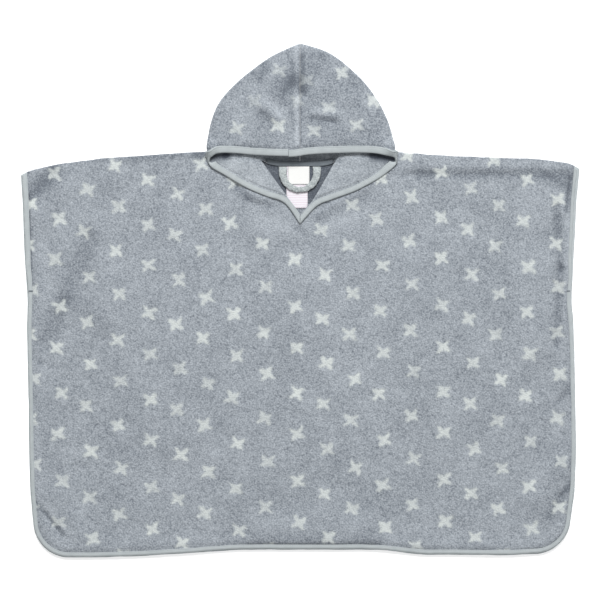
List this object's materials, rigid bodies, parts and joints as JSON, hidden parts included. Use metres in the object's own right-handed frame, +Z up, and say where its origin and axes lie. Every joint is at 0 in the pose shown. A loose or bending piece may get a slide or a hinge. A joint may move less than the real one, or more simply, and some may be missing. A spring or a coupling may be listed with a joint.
{
  "type": "hooded bath poncho",
  "caption": "Child's hooded bath poncho of terry cloth, laid flat with its front up, with a V neck, edge tapes, hanging loop and blank labels.",
  "frame": {"origin": "middle of the laid poncho's box, on the surface that it lies on", "axes": "+X across the shoulders to the right of the laid front, +Y up the cloth to the tip of the hood, +Z up from the surface"},
  "size_m": [0.8, 0.7356, 0.0163],
  "materials": {
    "terry": "grey blue terry cloth with pale stars, short looped pile",
    "edge_tape": "pale grey jersey tape, smooth, one row of stitches",
    "loop_terry": "pale grey terry strap",
    "label": "white woven satin"
  },
  "bodies": {
    "root": {"back": "terry", "front": "terry", "hood_left": "terry", "hood_right": "terry", "binding_back": "edge_tape", "binding_front": "edge_tape", "binding_hood": "edge_tape", "neck_tape": "edge_tape", "hanging_loop": "loop_terry", "label_neck": "label", "label_care": "label"}
  },
  "joints": []
}
